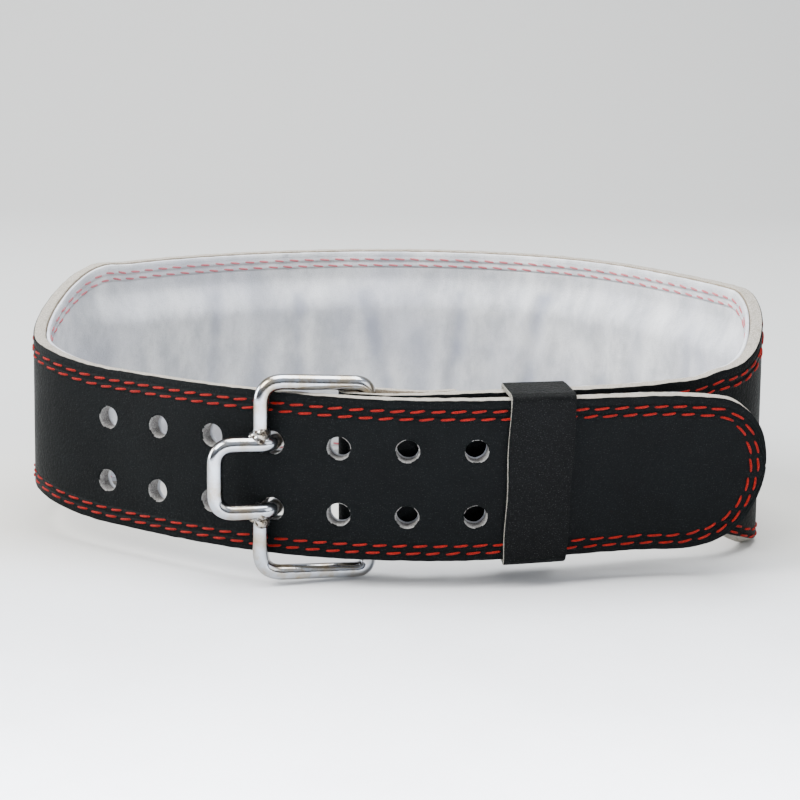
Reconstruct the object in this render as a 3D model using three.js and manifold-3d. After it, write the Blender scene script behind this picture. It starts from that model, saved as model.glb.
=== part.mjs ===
// Padded leather lifting belt, standing fastened on its lower edge.
// Millimetres, +Z up, the fastened strap faces -Y and the waist hollow opens up and down.
import * as THREE from 'three';
import { mergeVertices } from 'three/addons/utils/BufferGeometryUtils.js';
import Module from 'manifold-3d';

const wasm = await Module();
wasm.setup();

// Belt leather and lining
const STRAP_WIDTH = 62;
const BACK_WIDTH = 101.6;
const LEATHER_THICKNESS = 5;
const LINING_THICKNESS = 1.4;
const LINING_SETBACK = 0.6;
const SEAT_GAP = 0.3;

// Waist loop seen from above, measured on the outer grain face
const LOOP_WIDTH = 306;
const LOOP_DEPTH = 190;
const OVERLAP_GAP = 5.8;
const TAIL_STANDOFF = 14;
const GREATEST_LEAN = 4;

// Stretches along the belt, measured from the tip of the tail
const TAPER_START = 308;
const TAPER_LENGTH = 73.4;
const BACK_LENGTH = 336;

// Rounded tail
const TIP_PEAK = 5;
const TIP_UPPER_REACH = 20;
const TIP_LOWER_REACH = 36;

// Prong holes, counted from the tail
const HOLE_COLUMNS = 7;
const HOLE_PITCH = 25.4;
const HOLE_DIAMETER = 8.5;
const FIRST_HOLE = 111;
const HOLE_ROW_OFFSET = -0.9;
const FASTENED_COLUMN = 4;

// Buckle wire
const WIRE_DIAMETER = 5.9;
const FRAME_HEIGHT = 79;
const FRAME_CORNER = 8.5;
const BAR_CORNER = 5.2;
const FRAME_PAST_HOLE = 3.2;
const FRAME_DROP = 1.4;
const FRAME_SAG = 1.3;
const LEVER_REACH = 17;
const LEVER_HEIGHT = 25.8;
const LEVER_CORNER = 7.5;
const HOOK_DEPTH = 9;
const HOOK_BEND = 3.6;
const WELD_DIAMETER = 7.6;

// Folded buckle end
const FOLD_BEFORE_HOLE = 29.2;
const FOLD_CLEARANCE = 0.35;
const FOLD_SLACK = 5.6;
const SKIVE_LENGTH = 40;
const FLAP_LENGTH = 40;
const FLAP_THICKNESS = 2.6;
const FLAP_CLOSING = 26;
const LINING_STOP = 4;

// Keeper loop round the tail and the buckle end
const KEEPER_WIDTH = 24;
const KEEPER_THICKNESS = 1.8;
const KEEPER_BEFORE_HOLE = 23.2;
const KEEPER_SLANT = 0.8;
const KEEPER_CORNER = 3;
const KEEPER_SLACK = 0.6;

// Foam pad under the lining of the back
const PAD_LENGTH = 400;
const PAD_HEIGHT = 76;
const PAD_THICKNESS = 8;
const PAD_EDGE = 15;
const PAD_END = 40;

// Fineness of the meshes
const STATION_STEP = 7;
const PATH_STEPS = 2400;
const WIRE_SIDES = 10;
const HOLE_SIDES = 20;

// Plan of the loop, clockwise from the front right: control points of a closed cubic
// curve, as shares of half the loop's width (x) and half its depth (y)
const LOOP_PLAN = [
  { x: 0.785, y: -0.755 },
  { x: 0.485, y: -0.925 },
  { x: 0, y: -0.99 },
  { x: -0.4, y: -0.87 },
  { x: -0.74, y: -0.52 },
  { x: -1.01, y: -0.32 },
  { x: -1, y: 0.15 },
  { x: -0.78, y: 0.62 },
  { x: -0.34, y: 0.97 },
  { x: 0.17, y: 1.05 },
  { x: 0.62, y: 0.81 },
  { x: 0.86, y: 0.33 },
  { x: 1.13, y: -0.3 },
  { x: 0.93, y: -0.7 },
];

// How the belt stands, by place on the plan counted in its control points: how high its
// lower edge is, as a share of the front's height, and how far its top leans outwards, as a
// share of the greatest lean
const STANCE = [
  { place: -0.8, lift: 1.13, lean: 0.9 },
  { place: 0.5, lift: 1.44, lean: 1.4 },
  { place: 1.8, lift: 1.33, lean: 0.3 },
  { place: 3, lift: 1.45, lean: -0.75 },
  { place: 4, lift: 1.43, lean: -1.05 },
  { place: 5.3, lift: 2.16, lean: -0.55 },
  { place: 6.8, lift: 0, lean: 0 },
  { place: 10.6, lift: 0, lean: 0 },
  { place: 12.2, lift: 0.03, lean: -0.47 },
  { place: 13.4, lift: 1.5, lean: 0.1 },
];

// Places on the plan where the tail's tip lies, how far back the tail stands straighter than
// the belt behind it, where the belt passes inside itself, and where its end closes on the tail
const TIP_PLACE = -0.8;
const TAIL_STRAIGHT = 2.27;
const SPIRAL_START = 10.2;
const SPIRAL_END = 14.15;
const CLOSING_START = 15.3;
const CLOSING_END = 16.15;

// Upright creases of the padded lining: place along the pad, depth, width and how far each
// leans over its height, as shares of the pad's length, thickness, length and length
const CREASES = [
  { along: 0.14, depth: 0.12, width: 0.03, slant: 0 },
  { along: 0.26, depth: 0.2, width: 0.025, slant: 0.02 },
  { along: 0.37, depth: 0.16, width: 0.03, slant: 0 },
  { along: 0.47, depth: 0.2, width: 0.025, slant: -0.02 },
  { along: 0.57, depth: 0.22, width: 0.03, slant: 0.03 },
  { along: 0.67, depth: 0.14, width: 0.025, slant: 0 },
  { along: 0.78, depth: 0.16, width: 0.03, slant: 0.02 },
];

// Sizes that follow from those above
const beltThickness = LEATHER_THICKNESS + SEAT_GAP + LINING_THICKNESS;
const turnsInPlan = LOOP_PLAN.length;
const overlapOffset = beltThickness + OVERLAP_GAP;
const frontLift = (FRAME_HEIGHT - STRAP_WIDTH) / 2;
const fastenedHole = FIRST_HOLE + (FASTENED_COLUMN - 1) * HOLE_PITCH;
const backStart = TAPER_START + TAPER_LENGTH;
const backEnd = backStart + BACK_LENGTH;
const wireRadius = WIRE_DIAMETER / 2;
const foldInnerRadius = wireRadius + FOLD_CLEARANCE;
const foldOuterRadius = foldInnerRadius + FLAP_THICKNESS;

function smoothstep(value) {
  const t = Math.min(Math.max(value, 0), 1);
  return t * t * (3 - 2 * t);
}

// Closed uniform cubic curve through the neighbourhood of its control points
function planPoint(place) {
  const base = Math.floor(place);
  const t = place - base;
  const weights = [
    (1 - t) ** 3 / 6,
    (3 * t ** 3 - 6 * t ** 2 + 4) / 6,
    (-3 * t ** 3 + 3 * t ** 2 + 3 * t + 1) / 6,
    t ** 3 / 6,
  ];
  const point = new THREE.Vector2();
  weights.forEach((weight, k) => {
    const index = (((base + k - 1) % turnsInPlan) + turnsInPlan) % turnsInPlan;
    point.x += weight * LOOP_PLAN[index].x;
    point.y += weight * LOOP_PLAN[index].y;
  });
  return point;
}

// Scale and centre that give the plan its named width and depth
function fitPlan() {
  const box = new THREE.Box2();
  for (let k = 0; k < PATH_STEPS; k += 1) {
    box.expandByPoint(planPoint((k * turnsInPlan) / PATH_STEPS));
  }
  const size = box.getSize(new THREE.Vector2());
  return {
    centre: box.getCenter(new THREE.Vector2()),
    scale: new THREE.Vector2(LOOP_WIDTH / size.x, LOOP_DEPTH / size.y),
  };
}

const planFit = fitPlan();

function outerPoint(place) {
  return planPoint(place).sub(planFit.centre).multiply(planFit.scale);
}

// Direction of travel on the plan at a place
function planDirection(place) {
  const reach = 1e-3;
  return outerPoint(place + reach).sub(outerPoint(place - reach)).normalize();
}

// Point of the grain face at a place that may lie more than one loop along:
// past the first loop the belt runs inside itself by its own thickness and a gap, which
// closes before the fold
function grainPoint(place) {
  const spiral = smoothstep((place - SPIRAL_START) / (SPIRAL_END - SPIRAL_START));
  const closing = smoothstep((place - CLOSING_START) / (CLOSING_END - CLOSING_START));
  const nearTip = Math.max(1 - (place - TIP_PLACE) / TAIL_STRAIGHT, 0);
  const overlap = overlapOffset * spiral - (OVERLAP_GAP - SEAT_GAP) * closing;
  const inside = overlap - TAIL_STANDOFF * nearTip ** 2;
  const direction = planDirection(place);
  const inward = new THREE.Vector2(direction.y, -direction.x);
  return outerPoint(place).addScaledVector(inward, inside);
}

// The buckle end passes the front a second time, standing there as the tail does
const stanceRows = [
  ...STANCE,
  ...STANCE.slice(1, 4).map((row) => ({ ...row, place: row.place + turnsInPlan })),
];

// One column of the stance table at a place, eased between its rows
function stanceAt(place, column) {
  const next = stanceRows.findIndex((row) => row.place > place);
  const low = stanceRows[next - 1];
  const high = stanceRows[next];
  const blend = smoothstep((place - low.place) / (high.place - low.place));
  return low[column] + (high[column] - low[column]) * blend;
}

// The belt's grain line from the tail's tip to the fold, with its length so far
function tracePath(lastPlace) {
  const samples = [];
  let length = 0;
  for (let k = 0; k <= PATH_STEPS; k += 1) {
    const place = TIP_PLACE + ((lastPlace - TIP_PLACE) * k) / PATH_STEPS;
    const point = grainPoint(place);
    if (k > 0) {
      length += point.distanceTo(samples[k - 1].point);
    }
    samples.push({
      place,
      point,
      length,
      lift: frontLift * stanceAt(place, 'lift'),
      lean: THREE.MathUtils.degToRad(GREATEST_LEAN) * stanceAt(place, 'lean'),
    });
  }
  return samples;
}

function sampleAt(samples, length) {
  const last = samples.length - 2;
  let low = 0;
  let high = last;
  while (low < high) {
    const middle = Math.ceil((low + high) / 2);
    if (samples[middle].length <= length) {
      low = middle;
    } else {
      high = middle - 1;
    }
  }
  const a = samples[low];
  const b = samples[low + 1];
  const t = (length - a.length) / (b.length - a.length);
  return {
    place: a.place + (b.place - a.place) * t,
    point: a.point.clone().lerp(b.point, t),
    lift: a.lift + (b.lift - a.lift) * t,
    lean: a.lean + (b.lean - a.lean) * t,
  };
}

const firstLoop = tracePath(turnsInPlan);
const foldPlace = turnsInPlan + sampleAt(firstLoop, fastenedHole - FOLD_BEFORE_HOLE).place;
const path = tracePath(foldPlace);
const beltLength = path[path.length - 1].length;

// Frame of the belt's cross-section at a length s from the tail's tip
function frameAt(s) {
  const reach = 1;
  const here = sampleAt(path, s);
  const before = sampleAt(path, s - reach);
  const after = sampleAt(path, s + reach);
  const step = after.point.clone().sub(before.point);
  const height = here.lift + halfWidth(s);
  const along = new THREE.Vector3(step.x, step.y, 0).normalize();
  const inward = new THREE.Vector3(step.y, -step.x, 0).normalize().applyAxisAngle(along, -here.lean);
  const up = new THREE.Vector3().crossVectors(inward, along).normalize();
  return { origin: new THREE.Vector3(here.point.x, here.point.y, height), along, inward, up };
}

// A place on the belt: s along it, h above its centreline, depth in from the grain face
function beltPoint(s, h, depth) {
  const frame = frameAt(s);
  return frame.origin.addScaledVector(frame.up, h).addScaledVector(frame.inward, depth);
}

// Half width of the belt, strap to back and back to strap
function halfWidth(s) {
  const rise = smoothstep((s - TAPER_START) / TAPER_LENGTH);
  const fall = smoothstep((s - backEnd) / TAPER_LENGTH);
  return (STRAP_WIDTH + (BACK_WIDTH - STRAP_WIDTH) * (rise - fall)) / 2;
}

// Height of one edge of the rounded tail: a quarter ellipse from the tip's foremost point
function tipEdge(s, reach, edge) {
  const share = Math.min(s / reach, 1);
  return TIP_PEAK + (edge - TIP_PEAK) * Math.sqrt(1 - (1 - share) ** 2);
}

function upperEdge(s) {
  return s < TIP_UPPER_REACH ? tipEdge(s, TIP_UPPER_REACH, halfWidth(s)) : halfWidth(s);
}

function lowerEdge(s) {
  return s < TIP_LOWER_REACH ? tipEdge(s, TIP_LOWER_REACH, -halfWidth(s)) : -halfWidth(s);
}

// Lengths at which the belt's cross-sections lie: close together round the tip, then even
function stationsTo(end) {
  const tipStations = 12;
  const stations = [];
  for (let k = 0; k < tipStations; k += 1) {
    const share = (k + 0.35) / tipStations;
    stations.push(TIP_LOWER_REACH * (1 - Math.cos((share * Math.PI) / 2)));
  }
  for (let s = TIP_LOWER_REACH; s < end - STATION_STEP / 2; s += STATION_STEP) {
    stations.push(s);
  }
  stations.push(end);
  return stations;
}

// Closed body through a row of sections with the same number of points, in the same order
function skinSections(sections) {
  const size = sections[0].length;
  const positions = sections.flat().flatMap((point) => [point.x, point.y, point.z]);
  const indices = [];
  for (let i = 0; i + 1 < sections.length; i += 1) {
    for (let j = 0; j < size; j += 1) {
      const next = (j + 1) % size;
      const a = i * size + j;
      const b = i * size + next;
      if (sections[i][j].z < sections[i][next].z) {
        indices.push(a, b, b + size, a, b + size, a + size);
      } else {
        indices.push(a, b, a + size, b, b + size, a + size);
      }
    }
  }
  const last = (sections.length - 1) * size;
  for (let j = 1; j + 1 < size; j += 1) {
    indices.push(0, j + 1, j);
    indices.push(last, last + j, last + j + 1);
  }
  return indexedGeometry(positions, indices);
}

// Closed ring: sections follow one another, each an outer and an inner outline
function skinRings(outer, inner) {
  const size = outer[0].length;
  const rows = outer.length;
  const positions = [...outer, ...inner].flat().flatMap((point) => [point.x, point.y, point.z]);
  const indices = [];
  const shift = rows * size;
  const quad = (a, b, c, d) => indices.push(a, c, b, a, d, c);
  for (let j = 0; j < size; j += 1) {
    const k = (j + 1) % size;
    for (let i = 0; i + 1 < rows; i += 1) {
      const a = i * size;
      const b = a + size;
      quad(a + j, a + k, b + k, b + j);
      quad(shift + a + k, shift + a + j, shift + b + j, shift + b + k);
    }
    const end = (rows - 1) * size;
    quad(k, j, shift + j, shift + k);
    quad(end + j, end + k, shift + end + k, shift + end + j);
  }
  return indexedGeometry(positions, indices);
}

function indexedGeometry(positions, indices) {
  const geometry = new THREE.BufferGeometry();
  geometry.setAttribute('position', new THREE.Float32BufferAttribute(positions, 3));
  geometry.setIndex(indices);
  return geometry;
}

// Solid from a closed geometry, its matching corners merged
function toSolid(geometry) {
  const bare = geometry.clone();
  bare.deleteAttribute('normal');
  bare.deleteAttribute('uv');
  const merged = mergeVertices(bare, 1e-4);
  const solid = new wasm.Manifold(new wasm.Mesh({
    numProp: 3,
    vertProperties: new Float32Array(merged.attributes.position.array),
    triVerts: new Uint32Array(merged.index.array),
  }));
  return solid;
}

function toGeometry(solid) {
  const mesh = solid.getMesh();
  return indexedGeometry(mesh.vertProperties, Array.from(mesh.triVerts));
}

// Round cutter through the strap at one prong hole
function holeCutter(s, h) {
  const start = -LEATHER_THICKNESS;
  const end = beltThickness + SEAT_GAP / 2;
  const cutter = new THREE.CylinderGeometry(
    HOLE_DIAMETER / 2, HOLE_DIAMETER / 2, end - start, HOLE_SIDES);
  const frame = frameAt(s);
  const centre = beltPoint(s, h, (start + end) / 2);
  const turn = new THREE.Quaternion().setFromUnitVectors(new THREE.Vector3(0, 1, 0), frame.inward);
  cutter.applyQuaternion(turn);
  cutter.translate(centre.x, centre.y, centre.z);
  return toSolid(cutter);
}

function holeHeights() {
  return [HOLE_ROW_OFFSET + HOLE_PITCH / 2, HOLE_ROW_OFFSET - HOLE_PITCH / 2];
}

function cutProngHoles(solid) {
  let cut = solid;
  for (let column = 0; column < HOLE_COLUMNS; column += 1) {
    for (const h of holeHeights()) {
      cut = cut.subtract(holeCutter(FIRST_HOLE + column * HOLE_PITCH, h));
    }
  }
  return cut;
}

// The leather is skived towards the fold
function leatherThickness(s) {
  const skived = smoothstep((s - beltLength + SKIVE_LENGTH) / SKIVE_LENGTH);
  return LEATHER_THICKNESS + (FLAP_THICKNESS - LEATHER_THICKNESS) * skived;
}

// Cross-section of the belt leather
function leatherSection(s, outerDepth, innerDepth) {
  return [
    beltPoint(s, lowerEdge(s), outerDepth),
    beltPoint(s, upperEdge(s), outerDepth),
    beltPoint(s, upperEdge(s), innerDepth),
    beltPoint(s, lowerEdge(s), innerDepth),
  ];
}

// The skived end turned round the buckle's bar: half a circle, then a flap
function foldSections() {
  const bendSteps = 10;
  const flapSteps = 8;
  const frame = frameAt(beltLength);
  const centre = frame.origin.clone().addScaledVector(frame.inward, foldOuterRadius);
  const half = STRAP_WIDTH / 2;
  const sections = [];
  for (let k = 1; k <= bendSteps; k += 1) {
    const angle = (Math.PI * k) / bendSteps;
    const spoke = frame.along.clone().multiplyScalar(Math.sin(angle))
      .addScaledVector(frame.inward, -Math.cos(angle));
    const at = (radius, h) => centre.clone().addScaledVector(spoke, radius).addScaledVector(frame.up, h);
    sections.push([
      at(foldOuterRadius, -half),
      at(foldOuterRadius, half),
      at(foldInnerRadius, half),
      at(foldInnerRadius, -half),
    ]);
  }
  for (let k = 1; k <= flapSteps; k += 1) {
    const distance = (FLAP_LENGTH * k) / flapSteps;
    const closed = smoothstep((distance - FOLD_SLACK) / FLAP_CLOSING);
    const gap = 2 * foldInnerRadius + (SEAT_GAP - 2 * foldInnerRadius) * closed;
    const s = beltLength - distance;
    const inner = leatherThickness(s) + gap;
    sections.push(flapSection(s, inner, inner + FLAP_THICKNESS));
  }
  return sections;
}

function flapSection(s, near, far) {
  const half = STRAP_WIDTH / 2;
  return [
    beltPoint(s, -half, far),
    beltPoint(s, half, far),
    beltPoint(s, half, near),
    beltPoint(s, -half, near),
  ];
}

function makeBeltLeather() {
  const sections = stationsTo(beltLength).map((s) => leatherSection(s, 0, leatherThickness(s)));
  const solid = toSolid(skinSections([...sections, ...foldSections()]));
  return toGeometry(cutProngHoles(solid));
}

// How far the foam pad lifts the lining at a length s and a height h
function padLift(s, h) {
  const start = backStart + (BACK_LENGTH - PAD_LENGTH) / 2;
  const fromEnd = Math.min(s - start, start + PAD_LENGTH - s);
  const fromEdge = Math.min(PAD_HEIGHT / 2, halfWidth(s) - PAD_EDGE / 2) - Math.abs(h);
  const lift = PAD_THICKNESS * roundedRise(fromEnd / PAD_END) * roundedRise(fromEdge / PAD_EDGE);
  return lift * (1 - creaseDepth((s - start) / PAD_LENGTH, h / PAD_HEIGHT));
}

// Rise of a pillow's edge: steep at the seam and level where it is full
function roundedRise(share) {
  const t = Math.min(Math.max(share, 0), 1);
  return Math.sqrt(1 - (1 - t) ** 2);
}

function creaseDepth(along, height) {
  return CREASES.reduce((deepest, crease) => {
    const away = (along - crease.along - crease.slant * height) / crease.width;
    return Math.max(deepest, crease.depth * Math.exp(-away * away));
  }, 0);
}

// Cross-section of the lining, its waist side in rows that follow the pad
function liningSection(s) {
  const rows = [1, 0.76, 0.7, 0.56, 0.42, 0.2, -0.2, -0.42, -0.56, -0.7, -0.76, -1];
  const outer = LEATHER_THICKNESS + SEAT_GAP;
  const inner = outer + LINING_THICKNESS;
  const top = upperEdge(s) - LINING_SETBACK;
  const bottom = lowerEdge(s) + LINING_SETBACK;
  const middle = (top + bottom) / 2;
  const reach = (top - bottom) / 2;
  const waistSide = rows.map((row) => {
    const h = middle + reach * row;
    return beltPoint(s, h, inner + padLift(s, h));
  });
  return [beltPoint(s, bottom, outer), beltPoint(s, top, outer), ...waistSide];
}

function makeSuedeLining() {
  const end = beltLength - FLAP_LENGTH - LINING_STOP;
  const sections = stationsTo(end).slice(1).map(liningSection);
  return toGeometry(cutProngHoles(toSolid(skinSections(sections))));
}

// Line of straight stretches with its corners rounded, as the points where a wire's sides turn
function roundedLine(corners) {
  const bendSteps = 5;
  const points = [corners[0].at.clone()];
  for (let k = 1; k + 1 < corners.length; k += 1) {
    const { at, bend } = corners[k];
    const start = corners[k - 1].at.clone().sub(at).setLength(bend).add(at);
    const end = corners[k + 1].at.clone().sub(at).setLength(bend).add(at);
    points.push(...new THREE.QuadraticBezierCurve3(start, at, end).getPoints(bendSteps));
  }
  points.push(corners[corners.length - 1].at.clone());
  return points;
}

// Curve whose even steps fall on the given points
class StationCurve extends THREE.Curve {
  constructor(points) {
    super();
    this.points = points;
  }

  getPoint(t, target = new THREE.Vector3()) {
    const spans = this.points.length - 1;
    const index = Math.min(Math.floor(t * spans), spans - 1);
    return target.lerpVectors(this.points[index], this.points[index + 1], t * spans - index);
  }

  getUtoTmapping(u) {
    return u;
  }
}

function wireSolid(corners) {
  const points = roundedLine(corners);
  const circle = new THREE.Shape();
  for (let k = 0; k < WIRE_SIDES; k += 1) {
    const angle = (2 * Math.PI * k) / WIRE_SIDES;
    const x = wireRadius * Math.cos(angle);
    const y = wireRadius * Math.sin(angle);
    if (k === 0) {
      circle.moveTo(x, y);
    } else {
      circle.lineTo(x, y);
    }
  }
  return toSolid(new THREE.ExtrudeGeometry(circle, {
    steps: points.length - 1,
    extrudePath: new StationCurve(points),
    bevelEnabled: false,
  }));
}

// Middle of the frame's two upright sides: the bar in the fold and the stubs before the strap
function frameAnchors() {
  const fold = frameAt(beltLength - FOLD_SLACK);
  const stubs = frameAt(fastenedHole + FRAME_PAST_HOLE);
  return {
    bar: fold.origin.clone().addScaledVector(fold.inward, foldOuterRadius),
    barUp: fold.up,
    stub: stubs.origin.clone().addScaledVector(stubs.inward, -(wireRadius + 2 * SEAT_GAP)),
    stubUp: stubs.up,
  };
}

function makeBuckleFrame({ bar, barUp, stub, stubUp }) {
  const reach = FRAME_HEIGHT / 2 - wireRadius;
  const stubEnds = holeHeights().map((h) => h + Math.sign(h) * (LEVER_HEIGHT - HOLE_PITCH) / 2);
  const onBar = (h) => bar.clone().addScaledVector(barUp, h);
  const onStub = (h) => stub.clone().addScaledVector(stubUp, h);
  return wireSolid([
    { at: onStub(stubEnds[0]) },
    { at: onStub(reach - FRAME_DROP), bend: FRAME_CORNER },
    { at: onBar(reach - FRAME_DROP - FRAME_SAG), bend: BAR_CORNER },
    { at: onBar(-reach - FRAME_DROP - FRAME_SAG), bend: BAR_CORNER },
    { at: onStub(-reach - FRAME_DROP), bend: FRAME_CORNER },
    { at: onStub(stubEnds[1]) },
  ]);
}

// Thumb lever: a U whose arms cross the stubs and hook into the fastened pair of holes
function makeThumbLever({ bar, stub, stubUp }) {
  const outwards = stub.clone().sub(bar).setZ(0).normalize();
  const [upperHole, lowerHole] = holeHeights();
  const spread = (LEVER_HEIGHT - HOLE_PITCH) / 2;
  const onArm = (h, reach) => stub.clone().addScaledVector(stubUp, h).addScaledVector(outwards, reach);
  const mouth = (h) => beltPoint(fastenedHole, h, -(wireRadius + 2 * SEAT_GAP));
  return wireSolid([
    { at: beltPoint(fastenedHole, upperHole, HOOK_DEPTH) },
    { at: mouth(upperHole), bend: HOOK_BEND },
    { at: onArm(upperHole + spread, LEVER_REACH), bend: LEVER_CORNER },
    { at: onArm(lowerHole - spread, LEVER_REACH), bend: LEVER_CORNER },
    { at: mouth(lowerHole), bend: HOOK_BEND },
    { at: beltPoint(fastenedHole, lowerHole, HOOK_DEPTH) },
  ]);
}

function weldBead(centre) {
  const bead = new THREE.SphereGeometry(WELD_DIAMETER / 2, 12, 8);
  bead.translate(centre.x, centre.y, centre.z);
  return toSolid(bead);
}

function makeBuckle() {
  const anchors = frameAnchors();
  let buckle = makeBuckleFrame(anchors).add(makeThumbLever(anchors));
  for (const h of holeHeights()) {
    const side = Math.sign(h) * (LEVER_HEIGHT - HOLE_PITCH) / 2;
    const lift = WELD_DIAMETER / 2 - wireRadius;
    const centre = anchors.stub.clone().addScaledVector(anchors.stubUp, h + side);
    centre.addScaledVector(frameAt(fastenedHole).inward, -lift);
    buckle = buckle.add(weldBead(centre));
  }
  return toGeometry(buckle);
}

// Outline of the keeper's band in depth and height, with rounded corners
function keeperOutline(depthLow, depthHigh, half, corner) {
  const cornerSteps = 3;
  const centres = [
    { depth: depthHigh - corner, h: half - corner, start: 0 },
    { depth: depthLow + corner, h: half - corner, start: 1 },
    { depth: depthLow + corner, h: corner - half, start: 2 },
    { depth: depthHigh - corner, h: corner - half, start: 3 },
  ];
  return centres.flatMap(({ depth, h, start }) => {
    const points = [];
    for (let k = 0; k <= cornerSteps; k += 1) {
      const angle = ((start + k / cornerSteps) * Math.PI) / 2;
      points.push({ depth: depth + corner * Math.cos(angle), h: h + corner * Math.sin(angle) });
    }
    return points;
  });
}

// How far the buckle end's grain face lies behind the tail's at a length s
function overlapAt(s) {
  const { place, point } = sampleAt(path, s);
  return point.distanceTo(grainPoint(place + turnsInPlan));
}

function makeKeeperLoop() {
  const steps = 4;
  const middle = FIRST_HOLE - KEEPER_BEFORE_HOLE;
  const slant = Math.tan(THREE.MathUtils.degToRad(KEEPER_SLANT));
  const ring = (k, grow) => {
    const across = middle + KEEPER_WIDTH * (k / steps - 0.5);
    const rear = overlapAt(across) + beltThickness + SEAT_GAP + grow;
    const half = STRAP_WIDTH / 2 + KEEPER_SLACK + grow;
    const outline = keeperOutline(-SEAT_GAP - grow, rear, half, KEEPER_CORNER - KEEPER_THICKNESS + grow);
    return outline.map(({ depth, h }) => {
      const s = across - h * slant;
      return beltPoint(s, h, depth).setZ(beltPoint(s, h, 0).z);
    });
  };
  const rows = Array.from({ length: steps + 1 }, (_, k) => k);
  return skinRings(rows.map((k) => ring(k, KEEPER_THICKNESS)), rows.map((k) => ring(k, 0)));
}

function addPiece(group, name, geometry, finish) {
  geometry.computeVertexNormals();
  const mesh = new THREE.Mesh(geometry, new THREE.MeshStandardMaterial(finish));
  mesh.name = name;
  group.add(mesh);
}

const belt = new THREE.Group();
const blackGrain = { color: 0x141517, roughness: 0.5, metalness: 0 };
addPiece(belt, 'belt_leather', makeBeltLeather(), blackGrain);
addPiece(belt, 'suede_lining', makeSuedeLining(), { color: 0xc9cdd3, roughness: 0.95, metalness: 0 });
addPiece(belt, 'buckle', makeBuckle(), { color: 0xc8c6c2, roughness: 0.22, metalness: 1 });
addPiece(belt, 'keeper_loop', makeKeeperLoop(), blackGrain);

// The origin is the middle of the belt's box, on the surface it stands on
const box = new THREE.Box3().setFromObject(belt);
const middle = box.getCenter(new THREE.Vector3());
belt.position.set(-middle.x, -middle.y, -box.min.z);

export default belt;
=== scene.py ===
# Looks of the fastened lifting belt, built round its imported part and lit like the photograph.
import math

import bpy
import numpy as np
from mathutils import Matrix, Vector


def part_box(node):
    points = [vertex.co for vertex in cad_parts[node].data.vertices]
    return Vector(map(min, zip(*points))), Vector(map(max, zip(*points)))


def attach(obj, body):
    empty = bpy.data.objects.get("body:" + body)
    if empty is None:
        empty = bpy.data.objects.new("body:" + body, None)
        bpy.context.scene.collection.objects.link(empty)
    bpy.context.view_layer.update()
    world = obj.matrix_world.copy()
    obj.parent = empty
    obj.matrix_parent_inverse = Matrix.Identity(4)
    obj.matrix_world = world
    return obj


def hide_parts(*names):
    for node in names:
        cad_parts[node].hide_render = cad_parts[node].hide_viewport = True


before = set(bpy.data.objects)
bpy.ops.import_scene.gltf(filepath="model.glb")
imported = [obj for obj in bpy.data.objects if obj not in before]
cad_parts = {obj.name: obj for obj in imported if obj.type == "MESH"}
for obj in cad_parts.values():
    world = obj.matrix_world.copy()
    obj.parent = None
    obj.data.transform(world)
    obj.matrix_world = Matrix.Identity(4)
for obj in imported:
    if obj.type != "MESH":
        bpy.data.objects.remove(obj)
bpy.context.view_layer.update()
MM = 0.001

# Belt sizes, the same as the part's: lengths in millimetres, lean and slant in degrees
STRAP_WIDTH = 62.0
BACK_WIDTH = 101.6
LEATHER = 5.0
LINING = 1.4
SETBACK = 0.6
SEAT_GAP = 0.3
LOOP_WIDTH = 306.0
LOOP_DEPTH = 190.0
OVERLAP_GAP = 5.8
TAIL_STANDOFF = 14.0
GREATEST_LEAN = 4.0
TAPER_START = 308.0
TAPER_LENGTH = 73.4
BACK_LENGTH = 336.0
TIP_PEAK = 5.0
TIP_UPPER_REACH = 20.0
TIP_LOWER_REACH = 36.0
HOLE_COLUMNS = 7
HOLE_PITCH = 25.4
HOLE_RADIUS = 4.25
FIRST_HOLE = 111.0
HOLE_ROW_OFFSET = -0.9
FASTENED_COLUMN = 4
WIRE = 5.9
FRAME_HEIGHT = 79.0
FRAME_CORNER = 8.5
BAR_CORNER = 5.2
FRAME_PAST_HOLE = 3.2
FRAME_DROP = 1.4
FRAME_SAG = 1.3
LEVER_REACH = 17.0
LEVER_HEIGHT = 25.8
LEVER_CORNER = 7.5
HOOK_DEPTH = 9.0
HOOK_BEND = 3.6
FOLD_BEFORE_HOLE = 29.2
FOLD_CLEARANCE = 0.35
FOLD_SLACK = 5.6
SKIVE_LENGTH = 40.0
FLAP_LENGTH = 40.0
FLAP_THICKNESS = 2.6
FLAP_CLOSING = 26.0
LINING_STOP = 4.0
KEEPER_WIDTH = 24.0
KEEPER_THICKNESS = 1.8
KEEPER_BEFORE_HOLE = 23.2
KEEPER_SLANT = 0.8
KEEPER_CORNER = 3.0
KEEPER_SLACK = 0.6
PAD_LENGTH = 400.0
PAD_HEIGHT = 76.0
PAD_THICKNESS = 8.0
PAD_EDGE = 15.0
PAD_END = 40.0

# Places along the loop, counted in control points of its plan, the same as the part's
TIP_PLACE = -0.8
TAIL_STRAIGHT = 2.27
SPIRAL = (10.2, 14.15)
CLOSING = (15.3, 16.15)

# Control points of the loop seen from above, scaled to its width and depth
PLAN = np.array([
    (0.785, -0.755), (0.485, -0.925), (0, -0.99), (-0.4, -0.87), (-0.74, -0.52),
    (-1.01, -0.32), (-1, 0.15), (-0.78, 0.62), (-0.34, 0.97), (0.17, 1.05),
    (0.62, 0.81), (0.86, 0.33), (1.13, -0.3), (0.93, -0.7),
])

# How the belt stands: place, lift share, lean share
STANCE = np.array([
    (-0.8, 1.13, 0.9), (0.5, 1.44, 1.4), (1.8, 1.33, 0.3), (3, 1.45, -0.75), (4, 1.43, -1.05),
    (5.3, 2.16, -0.55), (6.8, 0, 0), (10.6, 0, 0), (12.2, 0.03, -0.47), (13.4, 1.5, 0.1),
])

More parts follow.
